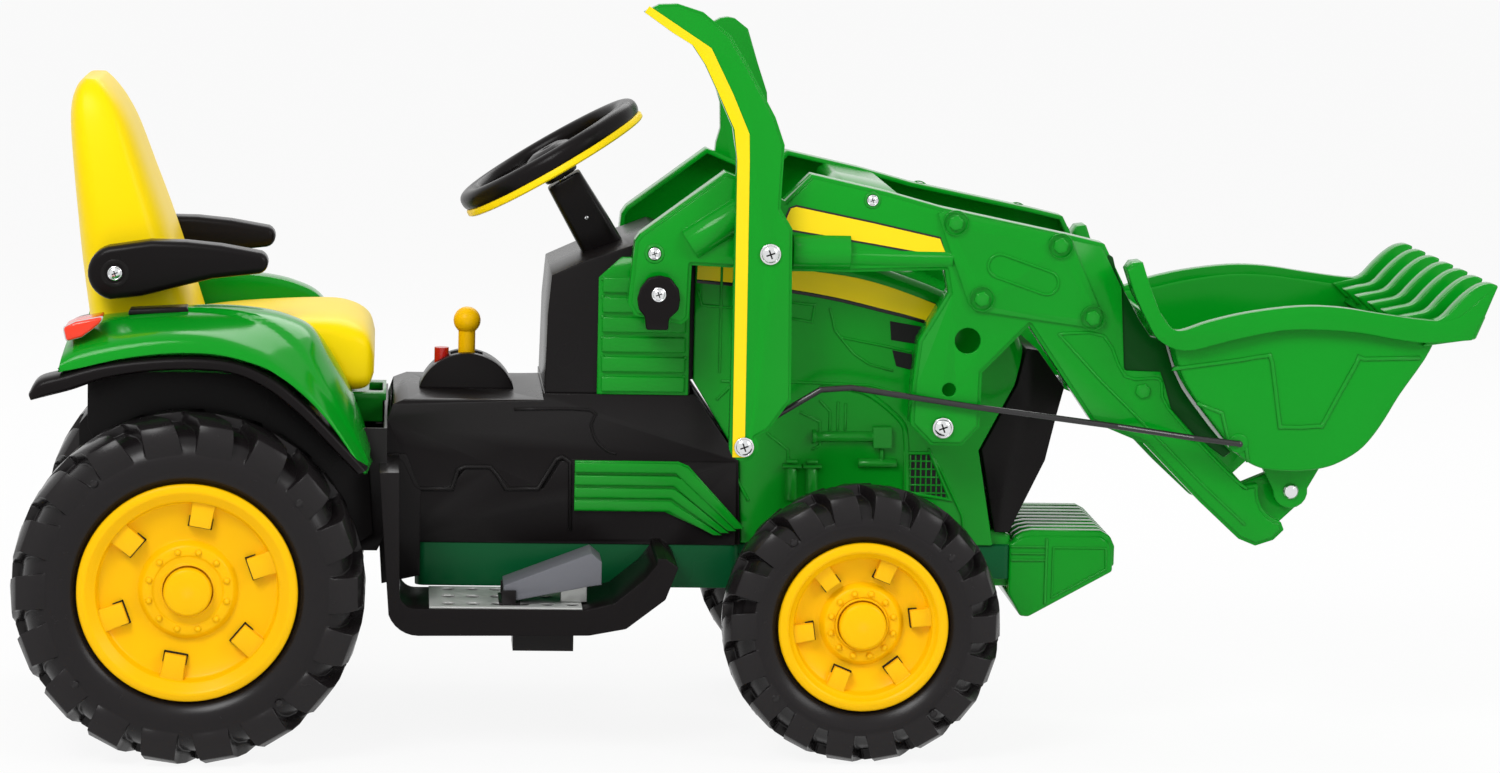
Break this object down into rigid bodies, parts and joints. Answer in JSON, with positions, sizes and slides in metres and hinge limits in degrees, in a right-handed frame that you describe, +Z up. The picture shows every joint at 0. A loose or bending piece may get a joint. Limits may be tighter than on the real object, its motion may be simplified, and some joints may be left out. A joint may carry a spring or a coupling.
{
  "type": "ride-on toy tractor with front loader",
  "caption": "Ride-on toy tractor for a child with a lever-worked front loader bucket, steering front wheels, seat with flip-up armrests, foot pedal and gear lever.",
  "frame": {"origin": "on the ground, midway along the length and across the width", "axes": "+X to the front, where the bucket is; +Y to the tractor's left; +Z up"},
  "size_m": [1.688, 0.64, 0.861],
  "materials": {
    "green_plastic": "glossy, saturated green",
    "dark_green_plastic": "dark green, glossy",
    "yellow_plastic": "glossy yellow",
    "black_plastic": "satin black",
    "tyre_plastic": "dull black, hard blow-moulded tyre",
    "red_plastic": "glossy red",
    "light_plastic": "red and orange lens",
    "lamp_clear": "clear lens",
    "grey_plastic": "grey pedal",
    "steel": "bright zinc-plated steel",
    "chrome": "chromed push caps and pins",
    "black_steel": "black painted rod",
    "battery_case": "dark blue-grey case",
    "motor_case": "grey gearbox"
  },
  "bodies": {
    "tractor": {"chassis": "black_plastic", "lower_tray": "dark_green_plastic", "dash_cowl": "black_plastic", "column_cover": "black_plastic", "engine_cover": "green_plastic", "nose_grille": "black_plastic", "headlights": "lamp_clear", "front_weight": "green_plastic", "louvre_panels": "green_plastic", "step_panels": "green_plastic", "seat": "yellow_plastic", "seat_pan": "green_plastic", "fender_right": "green_plastic", "fender_left": "green_plastic", "fender_trims": "black_plastic", "tail_lights": "light_plastic", "foot_plates": "steel", "battery": "battery_case", "gear_motors": "motor_case", "rear_axle": "steel", "front_axle_beam": "black_plastic", "shifter_dome": "black_plastic", "pedal_housing": "black_plastic", "body_screws": "chrome", "pivot_rod": "chrome"},
    "pedal": {"pedal": "grey_plastic"},
    "gear_lever": {"gear_lever": "yellow_plastic"},
    "red_button": {"red_button": "red_plastic"},
    "armrest_right": {"armrest_right": "black_plastic"},
    "armrest_left": {"armrest_left": "black_plastic"},
    "steering": {"steering_wheel": "black_plastic", "steering_ring": "yellow_plastic", "steering_shaft": "steel"},
    "tie_rod": {"tie_rod": "steel"},
    "knuckle_right": {"knuckle_right": "steel"},
    "knuckle_left": {"knuckle_left": "steel"},
    "rear_wheel_right": {"rear_tyre_right": "tyre_plastic", "rear_rim_right": "yellow_plastic", "rear_cap_right": "yellow_plastic"},
    "rear_wheel_left": {"rear_tyre_left": "tyre_plastic", "rear_rim_left": "yellow_plastic", "rear_cap_left": "yellow_plastic"},
    "front_wheel_right": {"front_tyre_right": "tyre_plastic", "front_rim_right": "yellow_plastic", "front_cap_right": "yellow_plastic"},
    "front_wheel_left": {"front_tyre_left": "tyre_plastic", "front_rim_left": "yellow_plastic", "front_cap_left": "yellow_plastic"},
    "arms": {"arm_right": "green_plastic", "arm_left": "green_plastic", "arm_crossmember": "green_plastic", "lift_handle": "green_plastic", "arm_pins": "chrome"},
    "lever": {"lever": "green_plastic"},
    "bucket_rod": {"bucket_rod": "black_steel"},
    "bucket": {"bucket": "green_plastic"},
    "latch_knob_right": {"latch_knob_right": "black_plastic"},
    "latch_knob_left": {"latch_knob_left": "black_plastic"}
  },
  "joints": [
    {"name": "rear_wheel_right_spin", "type": "hinge", "parent": "tractor", "child": "rear_wheel_right", "pos_m": [-0.6455, -0.264, 0.1985], "axis": [0, 1, 0], "continuous": true},
    {"name": "rear_wheel_left_spin", "type": "hinge", "parent": "tractor", "child": "rear_wheel_left", "pos_m": [-0.6455, 0.264, 0.1985], "axis": [0, 1, 0], "continuous": true},
    {"name": "steering_turn", "type": "hinge", "parent": "tractor", "child": "steering", "pos_m": [-0.2365, 0, 0.665], "axis": [-0.515, 0, 0.8572], "range_deg": [-45, 45]},
    {"name": "tie_rod_slide", "type": "slide", "parent": "tractor", "child": "tie_rod", "axis": [0, 1, 0], "range_m": [-0.0217, 0.0217]},
    {"name": "knuckle_right_turn", "type": "hinge", "parent": "tractor", "child": "knuckle_right", "pos_m": [0.1175, -0.172, 0.16], "axis": [0, 0, 1], "range_deg": [-18.1, 18.1]},
    {"name": "knuckle_left_turn", "type": "hinge", "parent": "tractor", "child": "knuckle_left", "pos_m": [0.1175, 0.172, 0.16], "axis": [0, 0, 1], "range_deg": [-18.1, 18.1]},
    {"name": "front_wheel_right_spin", "type": "hinge", "parent": "knuckle_right", "child": "front_wheel_right", "pos_m": [0.1175, -0.241, 0.16], "axis": [0, 1, 0], "continuous": true},
    {"name": "front_wheel_left_spin", "type": "hinge", "parent": "knuckle_left", "child": "front_wheel_left", "pos_m": [0.1175, 0.241, 0.16], "axis": [0, 1, 0], "continuous": true},
    {"name": "arms_lift", "type": "hinge", "parent": "tractor", "child": "arms", "pos_m": [0.2115, 0, 0.379], "axis": [0, -1, 0], "range_deg": [0, 12]},
    {"name": "lever_pull", "type": "hinge", "parent": "arms", "child": "lever", "pos_m": [0.005, -0.2175, 0.58], "axis": [0, 1, 0], "range_deg": [-22, 0]},
    {"name": "bucket_rod_swing", "type": "hinge", "parent": "lever", "child": "bucket_rod", "pos_m": [-0.02, -0.1995, 0.359], "axis": [0, 1, 0], "range_deg": [0, 19.7]},
    {"name": "bucket_dump", "type": "hinge", "parent": "arms", "child": "bucket", "pos_m": [0.619, 0, 0.31], "axis": [0, 1, 0], "range_deg": [0, 58]},
    {"name": "latch_right_turn", "type": "hinge", "parent": "arms", "child": "latch_knob_right", "pos_m": [-0.118, -0.1995, 0.528], "axis": [0, 1, 0], "range_deg": [0, 90]},
    {"name": "latch_left_turn", "type": "hinge", "parent": "arms", "child": "latch_knob_left", "pos_m": [-0.118, 0.1995, 0.528], "axis": [0, 1, 0], "range_deg": [0, 90]},
    {"name": "armrest_right_flip", "type": "hinge", "parent": "tractor", "child": "armrest_right", "pos_m": [-0.736, -0.1535, 0.541], "axis": [0, -1, 0], "range_deg": [0, 80]},
    {"name": "armrest_left_flip", "type": "hinge", "parent": "tractor", "child": "armrest_left", "pos_m": [-0.736, 0.1535, 0.541], "axis": [0, -1, 0], "range_deg": [0, 80]},
    {"name": "pedal_press", "type": "hinge", "parent": "tractor", "child": "pedal", "pos_m": [-0.2845, -0.22, 0.189], "axis": [0, 1, 0], "range_deg": [0, 7], "stiffness_Nm_per_rad": 3, "springref_deg": -11.46},
    {"name": "gear_lever_swing", "type": "hinge", "parent": "tractor", "child": "gear_lever", "pos_m": [-0.3335, 0, 0.383], "axis": [0, 1, 0], "range_deg": [-8, 8]},
    {"name": "button_press", "type": "slide", "parent": "tractor", "child": "red_button", "axis": [0, 0, 1], "range_m": [-0.004, 0], "stiffness_N_per_m": 200, "springref_m": 0.004}
  ],
  "couplings": [
    {"joint": "knuckle_right_turn", "follows": "steering_turn", "ratio": 0.4},
    {"joint": "knuckle_left_turn", "follows": "steering_turn", "ratio": 0.4},
    {"joint": "tie_rod_slide", "follows": "steering_turn", "m_per_rad": -0.02754},
    {"joint": "bucket_rod_swing", "follows": "lever_pull", "ratio": -0.891},
    {"joint": "bucket_dump", "follows": "lever_pull", "ratio": -2.63}
  ]
}
